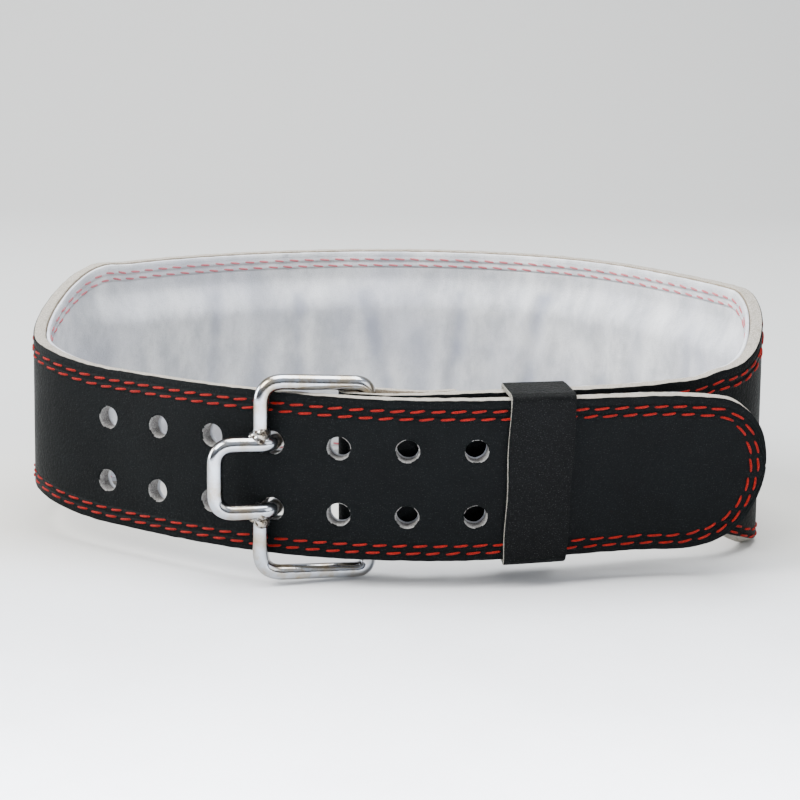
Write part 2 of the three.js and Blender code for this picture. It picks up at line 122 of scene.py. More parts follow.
# Wrinkles across the pad: along, depth, width, slant, as shares of the pad
CREASES = [
    (0.14, 0.12, 0.03, 0), (0.26, 0.2, 0.025, 0.02), (0.37, 0.16, 0.03, 0),
    (0.47, 0.2, 0.025, -0.02), (0.57, 0.22, 0.03, 0.03), (0.67, 0.14, 0.025, 0),
    (0.78, 0.16, 0.03, 0.02),
]

# Finer wrinkles of the suede between and beside them, in the same columns
FINE_CREASES = [
    (0.2, 0.26, 0.014, 0.02), (0.315, 0.24, 0.014, 0), (0.42, 0.34, 0.015, -0.05),
    (0.52, 0.26, 0.014, 0.02), (0.62, 0.28, 0.015, 0.03), (0.73, 0.24, 0.014, 0), (0.87, 0.2, 0.015, 0),
]

# Low waves of the padded suede, and the lift of the pad at which they and the painted shade
# in the wrinkles reach their full strength
WAVE_HEIGHT = 0.25
WAVE_SPACING = 9.0
WAVE_LIFT = 3.0

# Stitch rows: distance of the outer row from the upper and the lower edge, and the second
# row's distance from the first
ROW_FROM_TOP = 4.1
ROW_FROM_BOTTOM = 3.1
ROW_SPACING = 2.9
STITCH_PITCH = 7.5
STITCH_LENGTH = 6.0
LINING_STITCH_LENGTH = 5.4
THREAD_RADIUS = 0.47
LINING_THREAD_RADIUS = 0.5
THREAD_RISE = 0.6
LINING_THREAD_RISE = 0.5

# Where each row's first stitch starts, as a share of the pitch, and the least length left bare
# at either end of a row
ROW_PHASES = (0.1, 0.45)
ROW_MARGIN = 2.0

# How much the stitches' place and length vary, how far a thread runs across its row, and how
# deep its ends dive
PLACE_SCATTER = 0.12
LENGTH_SCATTER = 0.15
THREAD_SLANT = -0.62
SLANT_SCATTER = 0.12
THREAD_DIVE = 0.35

# How far the rows stop before the fold, and before the lining's end
STITCH_STOP = 2.0
LINING_STITCH_STOP = 3.0

# Lower edge rubbed to a slope at the right end of the loop
WORN_EDGE = 3.0
WORN_PLACE = 757.0
WORN_REACH = 16.0
WORN_HEIGHT = 8.0

# Leather's edge: its rounding, and the depths where grain ends and flesh begins
EDGE_ROUNDING = 0.45
EDGE_ROUGHNESS = 0.12
GRAIN_DEPTH = 0.42
FLESH_DEPTH = 4.7

# Keeper's surface: points round a ring, its length round the straps in the texture, the rings
# of its section that are grain, and a distance at which no seam shows
KEEPER_POINTS = 240
KEEPER_ROUND = 200.0
KEEPER_GRAIN_RINGS = range(2, 23)
FAR_FROM_STITCHES = 50.0

# Surfaces of the leather, numbered in the order of its materials
LEATHER_SURFACES = ("grain", "raw_edge", "flesh", "hole_wall")
GRAIN, RAW_EDGE, FLESH, HOLE_WALL = range(4)

# Reach of the scorch round a weld's middle
SCORCH_REACH = 7.0

# Length between the sections of the part's solid, and points that its line is traced with
STATION_STEP = 7.0
SAMPLES = 2400

turns = len(PLAN)
thickness = LEATHER + SEAT_GAP + LINING
overlap_offset = thickness + OVERLAP_GAP
front_lift = (FRAME_HEIGHT - STRAP_WIDTH) / 2
fastened_hole = FIRST_HOLE + (FASTENED_COLUMN - 1) * HOLE_PITCH
back_start = TAPER_START + TAPER_LENGTH
back_end = back_start + BACK_LENGTH
pad_start = back_start + (BACK_LENGTH - PAD_LENGTH) / 2
wire_radius = WIRE / 2
hole_heights = (HOLE_ROW_OFFSET + HOLE_PITCH / 2, HOLE_ROW_OFFSET - HOLE_PITCH / 2)
fold_inner = wire_radius + FOLD_CLEARANCE
fold_outer = fold_inner + FLAP_THICKNESS
fold_arc = math.pi * (fold_inner + fold_outer) / 2


# The belt's line, as in the part

def smooth(value):
    t = np.clip(value, 0, 1)
    return t * t * (3 - 2 * t)


def plan_point(place):
    place = np.asarray(place, float)
    base = np.floor(place).astype(int)
    t = place - base
    weights = [(1 - t) ** 3 / 6, (3 * t ** 3 - 6 * t ** 2 + 4) / 6,
               (-3 * t ** 3 + 3 * t ** 2 + 3 * t + 1) / 6, t ** 3 / 6]
    return sum(weights[k][..., None] * PLAN[(base + k - 1) % turns] for k in range(4))


plan_samples = plan_point(np.arange(SAMPLES) * turns / SAMPLES)
plan_centre = (plan_samples.min(0) + plan_samples.max(0)) / 2
plan_scale = np.array([LOOP_WIDTH, LOOP_DEPTH]) / (plan_samples.max(0) - plan_samples.min(0))


def outer_point(place):
    return (plan_point(place) - plan_centre) * plan_scale


def grain_point(place):
    direction = outer_point(place + 1e-3) - outer_point(place - 1e-3)
    direction /= np.linalg.norm(direction, axis=-1)[..., None]
    inward = np.stack([direction[..., 1], -direction[..., 0]], -1)
    spiral = smooth((place - SPIRAL[0]) / (SPIRAL[1] - SPIRAL[0]))
    near_tip = np.maximum(1 - (place - TIP_PLACE) / TAIL_STRAIGHT, 0)
    closing = smooth((place - CLOSING[0]) / (CLOSING[1] - CLOSING[0]))
    overlap = overlap_offset * spiral - (OVERLAP_GAP - SEAT_GAP) * closing
    inside = overlap - TAIL_STANDOFF * near_tip ** 2
    return outer_point(place) + inward * inside[..., None]


def stance(place, column):
    second = STANCE[1:4] + [turns, 0, 0]
    rows = np.vstack([STANCE, second])
    after = np.clip(np.searchsorted(rows[:, 0], place, side="right"), 1, len(rows) - 1)
    low, high = rows[after - 1], rows[after]
    blend = smooth((place - low[:, 0]) / (high[:, 0] - low[:, 0]))
    return low[:, column] + (high[:, column] - low[:, column]) * blend


def run_lengths(points):
    """Length along a run of points, from the first to each of them."""
    return np.concatenate([[0], np.cumsum(np.linalg.norm(np.diff(points, axis=0), axis=1))])


def trace(last):
    place = TIP_PLACE + (last - TIP_PLACE) * np.arange(SAMPLES + 1) / SAMPLES
    point = grain_point(place)
    return place, point, run_lengths(point)


first_place, _, first_length = trace(turns)
fold_place = turns + np.interp(fastened_hole - FOLD_BEFORE_HOLE, first_length, first_place)
path_place, path_point, path_length = trace(fold_place)
belt_length = path_length[-1]
path_lift = front_lift * stance(path_place, 1)
path_lean = np.radians(GREATEST_LEAN) * stance(path_place, 2)


def half_width(s):
    rise = smooth((s - TAPER_START) / TAPER_LENGTH)
    fall = smooth((s - back_end) / TAPER_LENGTH)
    return (STRAP_WIDTH + (BACK_WIDTH - STRAP_WIDTH) * (rise - fall)) / 2


def along_path(s):
    """Plan position at length s, carried straight on past either end."""
    x = np.interp(s, path_length, path_point[:, 0])
    y = np.interp(s, path_length, path_point[:, 1])
    head = (path_point[1] - path_point[0]) / path_length[1]
    tail = (path_point[-1] - path_point[-2]) / (path_length[-1] - path_length[-2])
    before, after = np.minimum(s, 0), np.maximum(s - belt_length, 0)
    return x + head[0] * before + tail[0] * after, y + head[1] * before + tail[1] * after


def frames(s):
    """Origin, along, inward and up of the belt's cross-section at lengths s."""
    x, y = along_path(s)
    x1, y1 = along_path(s + 1)
    x0, y0 = along_path(s - 1)
    step = np.stack([x1 - x0, y1 - y0, 0 * x], -1)
    along = step / np.linalg.norm(step, axis=-1)[..., None]
    level = np.stack([along[..., 1], -along[..., 0], 0 * x], -1)
    lean = -np.interp(s, path_length, path_lean)
    inward = level * np.cos(lean)[..., None] + np.cross(along, level) * np.sin(lean)[..., None]
    up = np.cross(inward, along)
    height = np.interp(s, path_length, path_lift) + half_width(s)
    return np.stack([x, y, height], -1), along, inward, up


def belt_point(s, h, depth):
    origin, _, inward, up = frames(s)
    return origin + up * h[..., None] + inward * depth[..., None]


def lower_edge(s):
    t = np.sqrt(np.maximum(1 - (1 - np.minimum(s / TIP_LOWER_REACH, 1)) ** 2, 0))
    edge = -half_width(s)
    return np.where(s < TIP_LOWER_REACH, TIP_PEAK + (edge - TIP_PEAK) * t, edge)


def upper_edge(s):
    t = np.sqrt(np.maximum(1 - (1 - np.minimum(s / TIP_UPPER_REACH, 1)) ** 2, 0))
    edge = half_width(s)
    return np.where(s < TIP_UPPER_REACH, TIP_PEAK + (edge - TIP_PEAK) * t, edge)


def part_shift():
    """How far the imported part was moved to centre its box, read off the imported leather."""
    low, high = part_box("belt_leather")
    s = np.arange(TIP_LOWER_REACH, belt_length - STATION_STEP / 2, STATION_STEP)
    outer = np.concatenate([belt_point(s, lower_edge(s), 0 * s), belt_point(s, upper_edge(s), 0 * s)])
    x = low.x / MM - outer[:, 0].min()
    y = high.y / MM - outer[:, 1].max()
    return np.array([x, y, 0.0])


shift = part_shift()


def skived(s):
    """Share of the leather's thickness left at lengths s."""
    share = smooth((s - belt_length + SKIVE_LENGTH) / SKIVE_LENGTH)
    return 1 + (FLAP_THICKNESS / LEATHER - 1) * share


def bend(flat):
    """Places flat points (length, height, depth from the grain) on the belt, fold and flap included."""
    s, h, d = flat[:, 0], flat[:, 1], flat[:, 2]
    over = s - belt_length
    on_arc = (over > 0) & (over <= fold_arc)
    on_flap = over > fold_arc
    back = np.clip(over - fold_arc, 0, None)
    thin = d * skived(s)
    place = belt_point(np.where(on_flap, belt_length - back, np.minimum(s, belt_length)), h, thin)
    origin, along, inward, up = (v[0] for v in frames(np.array([belt_length])))
    angle = np.clip(over / fold_arc, 0, 1) * math.pi
    spoke = along * np.sin(angle)[:, None] - inward * np.cos(angle)[:, None]
    end_depth = d * FLAP_THICKNESS / LEATHER
    arc = origin + inward * fold_outer + spoke * (fold_outer - end_depth)[:, None] + up * h[:, None]
    closed = smooth((back - FOLD_SLACK) / FLAP_CLOSING)
    gap = 2 * fold_inner + (SEAT_GAP - 2 * fold_inner) * closed
    near = LEATHER * skived(belt_length - back) + gap
    flap = belt_point(belt_length - back, h, near + FLAP_THICKNESS - end_depth)
    place = np.where(on_arc[:, None], arc, place)
    place = np.where(on_flap[:, None], flap, place)
    return (place + shift) * MM


# Mesh helpers

def make_object(name, points, faces):
    mesh = bpy.data.meshes.new(name)
    mesh.from_pydata([tuple(p) for p in points], [], faces)
    mesh.update()
    piece = bpy.data.objects.new(name, mesh)
    bpy.context.scene.collection.objects.link(piece)
    return piece


def grid_faces(rows, size):
    """Quads between closed rings of points that each have the same number of points."""
    i = np.arange(rows - 1)[:, None]
    j = np.arange(size)[None, :]
    a = i * size + j
    b = i * size + (j + 1) % size
    return np.stack([a, b, b + size, a + size], -1).reshape(-1, 4).tolist()


def finish_mesh(piece, sharp):
    """Smooth shading, with hard edges above an angle of sharp degrees, or none if it is 0."""
    mesh = piece.data
    mesh.polygons.foreach_set("use_smooth", [True] * len(mesh.polygons))
    if sharp:
        mesh.set_sharp_from_angle(angle=math.radians(sharp))
    mesh.update()


def add_float(mesh, name, values):
    attribute = mesh.attributes.new(name, "FLOAT", "POINT")
    attribute.data.foreach_set("value", np.asarray(values, np.float32))


def add_uv(mesh, flat):
    """UV in metres from the first two columns of flat, one value per corner."""
    layer = mesh.uv_layers.new(name="flat")
    corners = np.zeros(len(mesh.loops), np.int32)
    mesh.loops.foreach_get("vertex_index", corners)
    layer.data.foreach_set("uv", (flat[corners][:, :2] * MM).astype(np.float32).ravel())


def vertices_of(mesh):
    points = np.zeros(len(mesh.vertices) * 3)
    mesh.vertices.foreach_get("co", points)
    return points.reshape(-1, 3)


def wobble(points, scale, seed):
    """Smooth pseudo-random value, mostly between -1 and 1, for each row of points."""
    local = np.random.default_rng(seed)
    total = np.zeros(len(points))
    for _ in range(7):
        wave = local.normal(size=points.shape[1]) / scale
        total += np.sin(points @ wave + local.uniform(0, 2 * math.pi))
    return total / 3.5


# Outline of the leather in the flat, from the fold along the lower edge, round the tail
# and back along the upper edge

def tip_stations(count):
    share = (np.arange(count) + 0.3) / count
    return TIP_LOWER_REACH * (1 - np.cos(share * math.pi / 2))


def outline_normals(points):
    """Unit normals of an open run of (length, height) points, pointing into the leather."""
    step = np.gradient(points, axis=0)
    step /= np.linalg.norm(step, axis=1)[:, None]
    return np.stack([step[:, 1], -step[:, 0]], -1)


def slab(stations, low, high, outer_rows, profile, noise):
    """Flat slab between two edge curves. profile holds (inset, depth) pairs of its edge face
    from the grain to the flesh side."""
    lower = np.stack([stations, low], -1)
    upper = np.stack([stations, high], -1)
    run = np.concatenate([lower[::-1], upper])
    normals = outline_normals(run)
    count = len(stations)
    lower_in, upper_in = normals[:count][::-1], normals[count:]
    rings = []
    first_inset = profile[0][0]
    start, end = lower + lower_in * first_inset, upper + upper_in * first_inset
    for t in np.linspace(0, 1, outer_rows):
        point = start * (1 - t) + end * t
        rings.append(np.column_stack([point, np.full(count, profile[0][1])]))
    for inset, depth in profile[1:]:
        rough = noise * wobble(np.column_stack([stations, np.full(count, depth * 3)]), 1.3, 5)
        point = upper + upper_in * (inset + rough)[:, None]
        rings.append(np.column_stack([point, np.full(count, depth)]))
    for t in (0.75, 0.5, 0.25):
        last = profile[-1][0]
        point = (lower + lower_in * last) * (1 - t) + (upper + upper_in * last) * t
        rings.append(np.column_stack([point, np.full(count, profile[-1][1])]))
    for inset, depth in profile[:0:-1]:
        rough = noise * wobble(np.column_stack([stations + 400, np.full(count, depth * 3)]), 1.3, 6)
        point = lower + lower_in * (inset + rough)[:, None]
        rings.append(np.column_stack([point, np.full(count, depth)]))
    points = np.stack(rings, 1)
    size = len(rings)
    faces = grid_faces(count, size)
    last_ring = (count - 1) * size
    faces = [face[::-1] for face in faces]
    faces.append(list(range(size)))
    faces.append([last_ring + j for j in range(size)][::-1])
    return points.reshape(-1, 3), faces


def edge_profile(depth, rounding, steps):
    """Inset and depth of an edge face with softened corners."""
    pairs = [(rounding, 0.0), (rounding * 0.3, rounding * 0.3), (0.0, rounding)]
    for k in range(1, steps):
        pairs.append((0.0, rounding + (depth - 2 * rounding) * k / steps))
    pairs += [(0.0, depth - rounding), (rounding * 0.3, depth - rounding * 0.3), (rounding, depth)]
    return pairs


def hole_centres():
    return [(FIRST_HOLE + k * HOLE_PITCH, h) for k in range(HOLE_COLUMNS) for h in hole_heights]


def cut_holes(piece, flare, low, high, top):
    """Cuts the prong holes from a flat piece, with a softened rim at depth top."""
    sides = 40
    depths = [low, top, top + flare, high]
    radii = [HOLE_RADIUS + 2 * flare, HOLE_RADIUS + flare, HOLE_RADIUS, HOLE_RADIUS]
    points, faces = [], []
    for number, (s, h) in enumerate(hole_centres()):
        base = len(points)
        for depth, radius in zip(depths, radii):
            for k in range(sides):
                angle = 2 * math.pi * k / sides
                coarse, fine = math.sin(3 * angle + number), math.sin(7 * angle + 2 * number)
                ragged = radius * (1 + 0.012 * coarse + 0.008 * fine)
                points.append((s + ragged * math.cos(angle), h + ragged * math.sin(angle), depth))
        for face in grid_faces(len(depths), sides):
            faces.append([base + v for v in face])
        last = base + (len(depths) - 1) * sides
        faces.append([base + k for k in range(sides)][::-1])
        faces.append([last + k for k in range(sides)])
    cutter = make_object("cutter", points, faces)
    modifier = piece.modifiers.new("holes", "BOOLEAN")
    modifier.operation = "DIFFERENCE"
    modifier.solver = "MANIFOLD"
    modifier.object = cutter
    bpy.context.view_layer.update()
    cut = bpy.data.meshes.new_from_object(piece.evaluated_get(bpy.context.evaluated_depsgraph_get()))
    piece.modifiers.clear()
    piece.data = cut
    bpy.data.objects.remove(cutter)


def face_data(mesh):
    centres = np.zeros(len(mesh.polygons) * 3)
    normals = np.zeros(len(mesh.polygons) * 3)
    mesh.polygons.foreach_get("center", centres)
    mesh.polygons.foreach_get("normal", normals)
    return centres.reshape(-1, 3), normals.reshape(-1, 3)


def near_hole(points, reach):
    found = np.zeros(len(points), bool)
    for s, h in hole_centres():
        found |= np.hypot(points[:, 0] - s, points[:, 1] - h) < reach
    return found


def belt_stations(end, step):
    """Lengths of the flat sections up to end, close together round the tail."""
    return np.concatenate([tip_stations(24), np.arange(TIP_LOWER_REACH, end - step / 2, step), [end]])


def make_leather():
    stations = belt_stations(belt_length, 1.5)
    arc = belt_length + fold_arc * np.arange(1, 15) / 14
    flap = belt_length + fold_arc + FLAP_LENGTH * np.arange(1, 17) / 16
    stations = np.concatenate([stations, arc, flap])
    profile = edge_profile(LEATHER, EDGE_ROUNDING, 5)
    inside = np.minimum(stations, belt_length)
    low = np.where(stations > belt_length, -STRAP_WIDTH / 2, lower_edge(inside))
    high = np.where(stations > belt_length, STRAP_WIDTH / 2, upper_edge(inside))
    points, faces = slab(stations, low, high, 34, profile, EDGE_ROUGHNESS)
    piece = make_object("leather", points, faces)
    cut_holes(piece, 0.3, -3, LEATHER + 3, 0)
    mesh = piece.data
    flat = vertices_of(mesh)
    centres, normals = face_data(mesh)
    holes = near_hole(centres, HOLE_RADIUS + 0.15) & (np.abs(normals[:, 2]) < 0.9)
    kind = np.where(centres[:, 2] < GRAIN_DEPTH, GRAIN, RAW_EDGE)
    kind = np.where((np.abs(normals[:, 2]) > 0.6) & (centres[:, 2] > FLESH_DEPTH), FLESH, kind)
    kind = np.where(holes & (centres[:, 2] > 0.1), HOLE_WALL, kind)
    add_uv(mesh, flat)
    add_float(mesh, "from_top", upper_edge(np.minimum(flat[:, 0], belt_length)) - flat[:, 1])
    from_bottom = flat[:, 1] - lower_edge(np.minimum(flat[:, 0], belt_length))
    add_float(mesh, "from_bottom", from_bottom)
    worn = WORN_EDGE * np.exp(-((flat[:, 0] - WORN_PLACE) / WORN_REACH) ** 2)
    flat[:, 1] += worn * np.clip(1 - from_bottom / WORN_HEIGHT, 0, 1) * (1 - flat[:, 2] / LEATHER)
    mesh.vertices.foreach_set("co", bend(flat).ravel())
    mesh.materials.clear()
    for name in LEATHER_SURFACES:
        mesh.materials.append(materials[name])
    mesh.polygons.foreach_set("material_index", kind.astype(np.int32))
    finish_mesh(piece, 50)
    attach(piece, "root")
    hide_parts("belt_leather")


def crease_depth(along, height):
    deepest = np.zeros_like(along)
    for place, depth, width, slant in CREASES + FINE_CREASES:
        away = (along - place - slant * height) / width
        deepest = np.maximum(deepest, depth * np.exp(-away * away))
    return deepest


def eased_rise(share):
    """Rises from 0 to 1, level at both ends."""
    t = np.clip(share, 0, 1)
    return np.sin(math.pi / 2 * t) ** 1.4


def pad_lift(s, h):
    from_end = np.minimum(s - pad_start, pad_start + PAD_LENGTH - s)
    from_edge = np.minimum(PAD_HEIGHT / 2, half_width(s) - PAD_EDGE / 2) - np.abs(h)
    lift = PAD_THICKNESS * eased_rise(from_end / PAD_END) * eased_rise(from_edge / PAD_EDGE)
    return lift * (1 - crease_depth((s - pad_start) / PAD_LENGTH, h / PAD_HEIGHT))


def make_lining():
    end = belt_length - FLAP_LENGTH - LINING_STOP
    stations = belt_stations(end, 1.7)[3:]
    near = LEATHER + SEAT_GAP
    far = near + LINING
    low = lower_edge(stations) + SETBACK
    high = upper_edge(stations) - SETBACK
    profile = [(0.3, near), (0, near + 0.4), (0, far - 0.3), (0.4, far)]
    points, faces = slab(stations, low, high, 60, [(i, far + near - d) for i, d in profile], 0.08)
    faces = [face[::-1] for face in faces]
    piece = make_object("lining", points, faces)
    cut_holes(piece, 0.1, 2, far + 3, near)
    mesh = piece.data
    flat = vertices_of(mesh)
    add_uv(mesh, flat)
    add_float(mesh, "from_top", upper_edge(flat[:, 0]) - flat[:, 1])
    add_float(mesh, "from_bottom", flat[:, 1] - lower_edge(flat[:, 0]))
    waist_side = np.clip((flat[:, 2] - far + 0.35) / 0.35, 0, 1)
    lift = pad_lift(flat[:, 0], flat[:, 1])
    waves = WAVE_HEIGHT * wobble(flat[:, :2], WAVE_SPACING, 11)
    lift = lift + waves * np.clip(lift / WAVE_LIFT, 0, 1)
    along = (flat[:, 0] - pad_start) / PAD_LENGTH
    # How deep the wrinkles lie where the pad is lifted, kept for the suede's painted shade in them
    wrinkle_shade = crease_depth(along, flat[:, 1] / PAD_HEIGHT) * np.clip(lift / WAVE_LIFT, 0, 1)
    add_float(mesh, "wrinkle_shade", wrinkle_shade)
    flat[:, 2] += lift * waist_side
    mesh.vertices.foreach_set("co", bend(flat).ravel())
    mesh.materials.clear()
    mesh.materials.append(materials["suede"])
    finish_mesh(piece, 60)
    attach(piece, "root")
    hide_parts("suede_lining")


# Wire buckle

def rounded_line(corners, steps):
    """Points of a line with rounded corners, from (corner, reach of the rounding) pairs."""
    points = [corners[0][0]]
    for k in range(1, len(corners) - 1):
        at, bend_reach = corners[k]
        before = corners[k - 1][0] - at
        after = corners[k + 1][0] - at
        start = at + before / np.linalg.norm(before) * bend_reach
        end = at + after / np.linalg.norm(after) * bend_reach
        for t in np.linspace(0, 1, steps + 1):
            points.append(start * (1 - t) ** 2 + 2 * at * t * (1 - t) + end * t * t)
    points.append(corners[-1][0])
    return np.array(points)


def spread(points, step):
    lengths = run_lengths(points)
    count = max(int(lengths[-1] / step), 2)
    at = np.linspace(0, lengths[-1], count + 1)
    return np.stack([np.interp(at, lengths, points[:, k]) for k in range(3)], -1)


def tube(points, radius, sides):
    """Round wire along points, its sections turned without twist."""
    tangent = np.gradient(points, axis=0)
    tangent /= np.linalg.norm(tangent, axis=1)[:, None]
    side = np.cross(tangent[0], [0.3, 0.5, 0.8])
    rings = []
    for point, direction in zip(points, tangent):
        side = side - direction * (side @ direction)
        side /= np.linalg.norm(side)
        other = np.cross(direction, side)
        angle = 2 * math.pi * np.arange(sides) / sides
        rings.append(point + radius * (np.cos(angle)[:, None] * side + np.sin(angle)[:, None] * other))
    faces = grid_faces(len(points), sides)
    last = (len(points) - 1) * sides
    faces.append(list(range(sides))[::-1])
    faces.append([last + k for k in range(sides)])
    return np.concatenate(rings), faces


def at(s, h, depth):
    return belt_point(np.array([s]), np.array([float(h)]), np.array([float(depth)]))[0]


def buckle_lines():
    origin, _, inward, up = (v[0] for v in frames(np.array([belt_length - FOLD_SLACK])))
    bar = origin + inward * fold_outer
    origin, _, inward, stub_up = (v[0] for v in frames(np.array([fastened_hole + FRAME_PAST_HOLE])))
    stub = origin - inward * (wire_radius + 2 * SEAT_GAP)
    high = FRAME_HEIGHT / 2 - wire_radius - FRAME_DROP
    low = wire_radius - FRAME_HEIGHT / 2 - FRAME_DROP
    upper, lower = hole_heights
    extra = (LEVER_HEIGHT - HOLE_PITCH) / 2
    welds = [stub + stub_up * (upper + extra), stub + stub_up * (lower - extra)]
    frame_line = [
        (welds[0], 0), (stub + stub_up * high, FRAME_CORNER),
        (bar + up * (high - FRAME_SAG), BAR_CORNER), (bar + up * (low - FRAME_SAG), BAR_CORNER),
        (stub + stub_up * low, FRAME_CORNER), (welds[1], 0),
    ]
    outwards = (stub - bar) * [1, 1, 0]
    outwards /= np.linalg.norm(outwards)
    mouth = -(wire_radius + 2 * SEAT_GAP)
    lever_line = [
        (at(fastened_hole, upper, HOOK_DEPTH), 0),
        (at(fastened_hole, upper, mouth), HOOK_BEND),
        (welds[0] + outwards * LEVER_REACH, LEVER_CORNER),
        (welds[1] + outwards * LEVER_REACH, LEVER_CORNER),
        (at(fastened_hole, lower, mouth), HOOK_BEND),
        (at(fastened_hole, lower, HOOK_DEPTH), 0),
    ]
    return frame_line, lever_line, welds


def weld_lumps(welds):
    """Name, place and radius of the beads where the frame meets the lever's two arms."""
    lumps = []
    for name, place, side in (("upper", welds[0], 1), ("lower", welds[1], -1)):
        lumps.append(("weld_" + name, place + np.array([-0.2, -0.3, 0.6 * side]), 3.9))
        lumps.append(("weld_fillet_" + name, place + np.array([-2.4, -0.2, 2.5 * side]), 2.2))
        lumps.append(("weld_lump_" + name, place + np.array([0.3, -0.5, 3.6 * side]), 3.25))
    return lumps


def make_weld(name, place, radius):
    middle = (place + shift) * MM
    bpy.ops.mesh.primitive_ico_sphere_add(subdivisions=4, radius=radius * MM, location=middle)
    bead = bpy.context.object
    bead.name = name
    local = vertices_of(bead.data)
    local *= 1 + 0.12 * wobble(local / MM, 1.6, len(name))[:, None]
    bead.data.vertices.foreach_set("co", local.ravel())
    add_float(bead.data, "weld", np.full(len(local), 0.9))
    bead.data.materials.append(materials["steel"])
    finish_mesh(bead, 0)
    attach(bead, "root")


def make_buckle():
    frame_line, lever_line, welds = buckle_lines()
    points, faces = [], []
    for line in (frame_line, lever_line):
        ring_points, ring_faces = tube(spread(rounded_line(line, 14), 0.8), wire_radius, 28)
        base = sum(len(p) for p in points)
        points.append(ring_points)
        faces += [[base + v for v in face] for face in ring_faces]
    all_points = (np.concatenate(points) + shift) * MM
    piece = make_object("buckle_wire", all_points, faces)
    mesh = piece.data
    centres = (np.array(welds) + shift) * MM
    points = vertices_of(mesh)
    away = np.min([np.linalg.norm(points - c, axis=1) for c in centres], axis=0)
    add_float(mesh, "weld", np.clip(1 - away / (SCORCH_REACH * MM), 0, 1))
    mesh.materials.append(materials["steel"])
    finish_mesh(piece, 50)
    for name, place, radius in weld_lumps(welds):
        make_weld(name, place, radius)
    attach(piece, "root")
    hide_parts("buckle")


# Keeper loop

def ring_outline(low, high, half, corner, count):
    """Closed rounded rectangle in depth and height with evenly spread points."""
    points = []
    centres = [(high - corner, half - corner, 0), (low + corner, half - corner, 1),
               (low + corner, corner - half, 2), (high - corner, corner - half, 3)]
    for depth, h, start in centres:
        for k in range(9):
            angle = (start + k / 8) * math.pi / 2
            points.append((depth + corner * math.cos(angle), h + corner * math.sin(angle), 0))
    points.append(points[0])
    points = np.array(points)
    lengths = run_lengths(points)
    place = lengths[-1] * np.arange(count) / count
    return np.stack([np.interp(place, lengths, points[:, k]) for k in range(2)], -1)


def overlap_at(s):
    """How far the buckle end's grain face lies behind the tail's at length s."""
    place = np.array([np.interp(s, path_length, path_place)])
    return np.linalg.norm(grain_point(place) - grain_point(place + turns))


def keeper_sections():
    """Share of the thickness and place across the keeper of each ring, round its section."""
    reach = KEEPER_WIDTH / 2
    profile = [(1.0, 0.35), (0.93, 0.1), (0.9, 0.0), (0.4, 0.0), (0.06, 0.05), (0.0, 0.3)]
    right_edge = [(grow, inset - reach) for grow, inset in profile[::-1]]
    left_edge = [(grow, reach - inset) for grow, inset in profile]
    outside = [(1.0, w) for w in np.linspace(1 - reach, reach - 1, 16)]
    inside = [(0.0, w) for w in np.linspace(reach - 1, 1 - reach, 6)]
    return right_edge + outside + left_edge + inside


def keeper_ring(grow, across, count):
    """Points of one ring round both straps, level between them, and its flat places."""
    middle = FIRST_HOLE - KEEPER_BEFORE_HOLE + across
    thick = KEEPER_THICKNESS * grow
    rear = overlap_at(middle) + thickness + SEAT_GAP
    outline = ring_outline(-SEAT_GAP - thick, rear + thick, STRAP_WIDTH / 2 + KEEPER_SLACK + thick,
                           KEEPER_CORNER - KEEPER_THICKNESS + thick, count)
    share = np.arange(count) / count
    ragged = 0.25 * np.sin(share * 2 * math.pi * 5) * (abs(across) > KEEPER_WIDTH / 2 - 0.5)
    s = middle + ragged * np.sign(across) - outline[:, 1] * math.tan(math.radians(KEEPER_SLANT))
    row = belt_point(s, outline[:, 1], outline[:, 0])
    row[:, 2] = belt_point(s, outline[:, 1], 0 * s)[:, 2]
    return row, np.column_stack([np.full(count, across), np.arange(count) * KEEPER_ROUND / count])


def make_keeper():
    count = KEEPER_POINTS
    rings = [keeper_ring(grow, across, count) for grow, across in keeper_sections()]
    points = np.concatenate([row for row, _ in rings])
    faces = []
    for i in range(len(rings)):
        a = i * count
        b = ((i + 1) % len(rings)) * count
        for j in range(count):
            k = (j + 1) % count
            faces.append([a + j, a + k, b + k, b + j])
    piece = make_object("keeper", (points + shift) * MM, faces)
    mesh = piece.data
    add_uv(mesh, np.concatenate([flat for _, flat in rings]))
    kind = [0 if (f // count) in KEEPER_GRAIN_RINGS else 1 for f in range(len(faces))]
    add_float(mesh, "from_top", np.full(len(points), FAR_FROM_STITCHES))
    add_float(mesh, "from_bottom", np.full(len(points), FAR_FROM_STITCHES))
    mesh.materials.append(materials["keeper_grain"])
    mesh.materials.append(materials["keeper_edge"])
    mesh.polygons.foreach_set("material_index", kind)
    finish_mesh(piece, 50)
    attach(piece, "root")
    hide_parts("keeper_loop")


# Stitching

def row_line(top, bottom, end):
    """Flat line of a stitch row, from the fold along the lower edge round the tail to the fold."""
    stations = belt_stations(end, 2.0)
    lower = np.stack([stations, lower_edge(stations)], -1)[::-1]
    upper = np.stack([stations, upper_edge(stations)], -1)
    run = np.concatenate([lower, upper])
    normals = outline_normals(run)
    blend = smooth((np.arange(len(run)) - len(lower) + 16) / 32)
    inset = bottom + (top - bottom) * blend
    line = run + normals * inset[:, None]
    keep = [0]
    for k in range(1, len(line)):
        if np.dot(line[k] - line[keep[-1]], run[k] - run[k - 1]) > 0:
            keep.append(k)
    line = np.column_stack([line[keep], np.zeros(len(keep))])
    return spread(line, 0.5)[:, :2]


